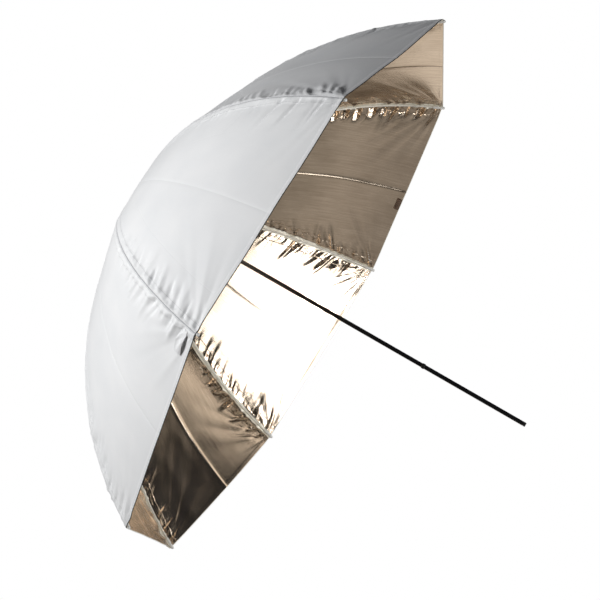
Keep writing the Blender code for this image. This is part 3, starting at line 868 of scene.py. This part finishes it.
def make_rib(index):
    """A fluted spring-steel rib, pinched flat into an eye at the notch wire."""
    start = share_at_radius(PIVOT[0] + 1.5 * MM)
    shares = np.concatenate([
        np.linspace(start, start + 0.02, 8), np.linspace(start + 0.025, RIB_END_SHARE, 90),
    ])
    radial, height, slope = rib_line(shares)
    centres = np.stack([radial, height, 0 * radial], axis=-1)
    outs = np.stack([np.sin(slope), np.cos(slope), 0 * slope], axis=-1)
    pinch = soft_step(start + 0.004, start + 0.02, shares)
    scale = np.stack([0.62 + 0.38 * pinch, 1.0 + 0 * pinch], axis=-1)
    body = sweep(channel_outline(*RIB_CHANNEL), centres, outs, scale)
    eye = lying_across((*PIVOT, 0.0), *EYE)
    rib = rib_piece("fluted_rib", index, joined([body, eye]), RIB_STEEL)
    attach(rib, f"rib_{index + 1}")
    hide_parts(f"rib_{index + 1}")
    fold_with_rib(rib)


def along_rib(share, past=0.0):
    """The matrix that turns a +Y shape to point along the rib at this share."""
    radial, height, slope = (float(x) for x in rib_line(share))
    place = Matrix.Translation((radial + cos(slope) * past, height - sin(slope) * past, 0.0))
    return place @ Matrix.Rotation(-pi / 2 - slope, 4, "Z")


def make_clip(index):
    """The crimped sleeve on a rib that holds the stretcher's rivet."""
    half, outer = 7 * MM, 2.5 * MM
    edge, crimp = 0.5 * MM, 0.35 * MM
    outline = [
        (0, half), (outer - edge, half), (outer, half - edge), (outer, 3.2 * MM),
        (outer - crimp, 2.6 * MM), (outer - crimp, -2.6 * MM), (outer, -3.2 * MM),
        (outer, edge - half), (outer - edge, -half), (0, -half),
    ]
    sleeve = moved(lathe(outline, ROUND_STEPS), along_rib(CLIP_SHARE))
    clip = rib_piece("crimped_clip", index, sleeve, ZINC_STEEL)
    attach(clip, f"rib_{index + 1}")
    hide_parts(f"rib_clip_{index + 1}")
    fold_with_rib(clip)


def make_tip(index):
    """A moulded tip with a round nose and a groove for the thread that ties the cloth to it."""
    length, radius, groove, before_end = 22 * MM, 2.5 * MM, 1.75 * MM, 8.7 * MM
    nose_steps = 7
    outline = [(0, length)]
    for step in range(1, nose_steps + 1):
        turn = pi / 2 * step / nose_steps
        outline.append((radius * sin(turn), length - radius * (1 - cos(turn))))
    outline += [
        (radius, 13.5 * MM), (groove, 13.0 * MM), (groove, 11.6 * MM), (radius, 11.1 * MM),
        (radius, 1.0 * MM), (radius - 0.6 * MM, 0), (0, 0),
    ]
    shape = moved(lathe(outline, ROUND_STEPS), along_rib(RIB_END_SHARE, past=-before_end))
    tip = rib_piece("moulded_tip", index, shape, WHITE_PLASTIC)
    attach(tip, f"rib_{index + 1}")
    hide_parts(f"rib_tip_{index + 1}")


def make_stretcher(index):
    """A fluted strut with a pinched eye at the runner and a riveted flat end at the clip."""
    radial, height, slope = (float(x) for x in rib_line(CLIP_SHARE))
    start = np.array((*RUNNER_PIVOT, 0.0))
    end = np.array((radial - sin(slope) * RIVET_BELOW, height - cos(slope) * RIVET_BELOW, 0.0))
    length = np.linalg.norm(end - start)
    along = (end - start) / length
    out = np.array((-along[1], along[0], 0.0))
    place = np.concatenate([
        np.linspace(1.4, 18, 14) * MM, np.linspace(0.02, length - 6 * MM, 30)[1:],
        length - np.array([4.5, 3.0, 1.4]) * MM,
    ])
    bend = soft_step(5 * MM, 18 * MM, place)
    centres = start + place[:, None] * along
    centres[:, 2] += RIVET_ASIDE * bend
    pinch = soft_step(2 * MM, 8 * MM, place)
    pinch *= 1 - soft_step(length - 8 * MM, length - 3 * MM, place)
    scale = np.stack([0.7 + 0.3 * pinch, 0.9 + 0.1 * pinch], axis=-1)
    body = sweep(channel_outline(*STRETCHER_CHANNEL), centres, -out[None, :], scale)
    near = lying_across(tuple(start), *EYE)
    far_centre = end + RIVET_ASIDE * SIDEWAYS
    far = lying_across(tuple(far_centre), *FAR_EYE)
    rivet = lying_across(tuple(far_centre), *RIVET, edge=0.25)
    strut = rib_piece("fluted_stretcher", index, joined([body, near, far, rivet]), ZINC_STEEL)
    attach(strut, f"stretcher_{index + 1}")
    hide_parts(f"stretcher_{index + 1}")


# -------- small sewn parts

# The strap's and the label's gores, and their ends along the rib, as shares, and off the seam.
STRAP_GORE, STRAP_SHARES, STRAP_SEAMS = 4, (0.953, 0.980), (5.5 * MM, 47 * MM)
LABEL_GORE, LABEL_SHARES, LABEL_SEAMS = 0, (0.983, 1.0), (146 * MM, 169 * MM)


def thin_shell(top, under):
    """Points and faces of two matching grids of points closed along their four edges."""
    rows, columns = top.shape[:2]
    shell = rows * columns
    strips = [edge_strip(edge, edge + shell) for edge in borders(rows, columns)]
    grids = [grid_faces(rows, columns), grid_faces(rows, columns, first=shell)[:, ::-1]]
    faces = np.concatenate(grids + strips).tolist()
    return np.concatenate([top.reshape(-1, 3), under.reshape(-1, 3)]), faces


def sewn_strip(name, gore, shares, seams, rise, thickness, inside, finish):
    """A strip of tape laid on the "a" half of a gore.

    shares and seams are its ends along and across; rise(u, v) is how far it stands off the cloth
    at u along it and v across it, both from 0 to 1.
    """
    along, across = np.linspace(0, 1, 15), np.linspace(0, 1, 36)
    share = shares[0] + (shares[1] - shares[0]) * along
    seam = np.tile(seams[0] + (seams[1] - seams[0]) * across, (len(along), 1))
    width = dome_at(share)[0] * sin(HALF_GORE)
    base, out = base_cloth(share, seam)
    relief = cloth_relief(gore, gore, 1, share, seam, width)
    lift = rise(along[:, None], across[None, :])
    if inside:
        top = relief - CLOTH / 2 - inner_relief(share, seam) - lift
        under = top - thickness
    else:
        under = relief + CLOTH / 2 + outer_relief(share, seam) + lift
        top = under + thickness
    points, faces = thin_shell(base + out * top[..., None], base + out * under[..., None])
    strip = new_piece(name, to_world(gore, points), [face[::-1] for face in faces], [finish])
    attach(strip, f"gore_{gore + 1}a")
    fold_with_cloth(strip)
    return strip


def make_tie_strap():
    """The closing strap, sewn down at the seam and looped back on itself at its free end."""
    def rise(along, across):
        loop = np.sin(pi * np.clip((across - 0.12) / 0.88, 0, 1)) ** 0.7
        return 0.2 * MM + 3.2 * MM * loop + 0.8 * MM * np.sin(2.2 * pi * along + 4 * across) * loop
    strap = sewn_strip(
        "tie_strap_cloth", STRAP_GORE, STRAP_SHARES, STRAP_SEAMS, rise,
        thickness=0.8 * MM, inside=False, finish=WHITE_TAPE,
    )
    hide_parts("tie_strap")


def make_hem_label():
    """A small plain brown tag folded over and sewn into the hem."""
    def rise(along, across):
        return 0.2 * MM + 1.1 * MM * np.sin(pi * along) * (1 + 0.3 * np.sin(pi * across))
    tag = sewn_strip(
        "hem_label_cloth", LABEL_GORE, LABEL_SHARES, LABEL_SEAMS, rise,
        thickness=0.5 * MM, inside=True, finish=LABEL_CLOTH,
    )
    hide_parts("hem_label")


# -------- stage, light, camera

CAMERA_DISTANCE = 5.009 * RIM_RADIUS
CAMERA_SIDE = radians(78.39)
CAMERA_RISE = radians(13.06)
CAMERA_ROLL = radians(27.31)
# How far the camera is moved to its left and down, in rim radii.
CAMERA_LEFT, CAMERA_DOWN = 0.002, 0.0148
LENS, SENSOR = 91.5, 36.0
RIM_MIDDLE = (0.0, RIM_Y, 0.0)
# Each lamp's name, direction from the rim's middle, distance, width and height, and power.
LAMPS = (
    ("front_softbox", (-0.34, -0.90, 0.27), 3.4, (3.3, 1.7), 48),
    ("key_lamp", (-0.64, 0.76, -0.06), 1.79, (0.4, 0.4), 24),
    ("front_lamp", (-0.42, -0.84, 0.35), 3.0, (0.3, 0.3), 24),
    ("right_fill", (0.92, 0.30, -0.10), 3.4, (1.2, 1.2), 10),
)


def add_camera():
    """Looks at the rim's middle from the side of the bowl, rolled so that the tube dips."""
    back = Vector((
        -sin(CAMERA_SIDE) * cos(CAMERA_RISE), -cos(CAMERA_SIDE) * cos(CAMERA_RISE), sin(CAMERA_RISE)
    ))
    right = (-back).cross(Vector((0, 0, 1))).normalized()
    up = right.cross(-back)
    rolled_right = cos(CAMERA_ROLL) * right + sin(CAMERA_ROLL) * up
    rolled_up = cos(CAMERA_ROLL) * up - sin(CAMERA_ROLL) * right
    data = bpy.data.cameras.new("camera")
    data.lens = LENS
    data.sensor_width = SENSOR
    camera = bpy.data.objects.new("camera", data)
    turn = Matrix((rolled_right, rolled_up, back)).transposed()
    camera.matrix_world = Matrix.Translation(
        Vector(RIM_MIDDLE) + back * CAMERA_DISTANCE
        - rolled_right * CAMERA_LEFT * RIM_RADIUS - rolled_up * CAMERA_DOWN * RIM_RADIUS
    ) @ turn.to_4x4()
    SCENE.collection.objects.link(camera)
    SCENE.camera = camera


def add_lamp(name, direction, distance, size, power):
    """An area lamp in this direction from the rim's middle, facing it."""
    data = bpy.data.lights.new(name, "AREA")
    data.shape = "RECTANGLE"
    data.size, data.size_y = size
    data.energy = power
    light = bpy.data.objects.new(name, data)
    away = Vector(direction).normalized()
    light.location = Vector(RIM_MIDDLE) + away * distance
    light.rotation_euler = away.to_track_quat("Z", "Y").to_euler()
    light.visible_camera = False
    SCENE.collection.objects.link(light)


def glow(tree, direction, towards, inner, outer, colour):
    """A soft round patch of light in the room, in the direction `towards`, as a colour socket."""
    facing = tree.nodes.new("ShaderNodeVectorMath")
    facing.operation = "DOT_PRODUCT"
    tree.links.new(direction, facing.inputs[0])
    facing.inputs[1].default_value = Vector(towards).normalized()
    spread = tree.nodes.new("ShaderNodeMapRange")
    spread.interpolation_type = "SMOOTHSTEP"
    set_inputs(spread, {"From Min": cos(radians(outer)), "From Max": cos(radians(inner))})
    tree.links.new(facing.outputs["Value"], spread.inputs["Value"])
    tint = tree.nodes.new("ShaderNodeVectorMath")
    tint.operation = "SCALE"
    tint.inputs[0].default_value = colour
    tree.links.new(spread.outputs["Result"], tint.inputs["Scale"])
    return tint.outputs["Vector"]


# The room as the foil sees it: direction, inner and outer angle of the patch, and its colour.
ROOM = (
    ((-0.50, -0.45, -0.74), 10, 42, (0.24, 0.225, 0.21)),
    ((0.12, -0.80, -0.55), 6, 32, (0.235, 0.22, 0.20)),
    ((0.70, -0.02, -0.71), 10, 32, (0.66, 0.615, 0.56)),
    ((1.00, 0.15, -0.15), 15, 45, (0.09, 0.087, 0.085)),
    ((0.815, -0.362, 0.455), 13, 22, (0.98, 0.905, 0.81)),
    ((0.00, 0.60, 0.80), 10, 95, (0.012, 0.014, 0.02)),
)
ROOM_DARK = (0.012, 0.012, 0.012)


def add_world():
    """White behind the object; what lights it and shows in the foil is a dim patchy room."""
    world = bpy.data.worlds.new("studio")
    SCENE.world = world
    world.use_nodes = True
    tree = world.node_tree
    room = tree.nodes["Background"]
    direction = tree.nodes.new("ShaderNodeTexCoord").outputs["Generated"]
    total = None
    for towards, inner, outer, colour in ROOM:
        patch = glow(tree, direction, towards, inner, outer, colour)
        adder = tree.nodes.new("ShaderNodeVectorMath")
        adder.operation = "ADD"
        tree.links.new(patch, adder.inputs[0])
        if total is None:
            adder.inputs[1].default_value = ROOM_DARK
        else:
            tree.links.new(total, adder.inputs[1])
        total = adder.outputs["Vector"]
    tree.links.new(total, room.inputs["Color"])
    backdrop = tree.nodes.new("ShaderNodeBackground")
    backdrop.inputs["Color"].default_value = (1.0, 1.0, 1.0, 1.0)
    seen = tree.nodes.new("ShaderNodeLightPath").outputs["Is Camera Ray"]
    mix = tree.nodes.new("ShaderNodeMixShader")
    tree.links.new(seen, mix.inputs["Fac"])
    tree.links.new(room.outputs["Background"], mix.inputs[1])
    tree.links.new(backdrop.outputs["Background"], mix.inputs[2])
    tree.links.new(mix.outputs["Shader"], tree.nodes["World Output"].inputs["Surface"])


# The hard parts that are carried over from the CAD, and their finishes.
HARD_FINISHES = {
    "shaft": BLACK_ENAMEL, "shaft_end_plug": BLACK_PLASTIC, "runner_stop": BLACK_PLASTIC,
    "apex_cap": WHITE_PLASTIC, "fabric_washer": WHITE_PLASTIC, "top_notch": WHITE_PLASTIC,
    "runner": WHITE_PLASTIC, "notch_wire": ZINC_STEEL, "runner_wire": ZINC_STEEL,
    "catch_spring": ZINC_STEEL,
}


def dress(part, finish, bevel):
    """A hard part carried over from the CAD: its finish, and its edges slightly rounded."""
    part.data.materials.clear()
    part.data.materials.append(finish)
    if bevel:
        rounding = part.modifiers.new("rounded_edges", "BEVEL")
        rounding.width = 0.2 * MM
        rounding.segments = 2
        rounding.limit_method = "ANGLE"
        rounding.angle_limit = radians(40)
        rounding.harden_normals = True


def main():
    for gore in range(RIB_COUNT):
        half_gore(gore, "a")
        half_gore(gore, "b")
    for index in range(RIB_COUNT):
        make_rib(index)
        make_clip(index)
        make_tip(index)
        make_stretcher(index)
    make_tie_strap()
    make_hem_label()
    for node, finish in HARD_FINISHES.items():
        dress(frame["nodes"][node], finish, bevel=not node.endswith("_wire"))
    add_world()
    add_camera()
    for lamp in LAMPS:
        add_lamp(*lamp)
    SCENE.view_settings.view_transform = "Standard"


main()
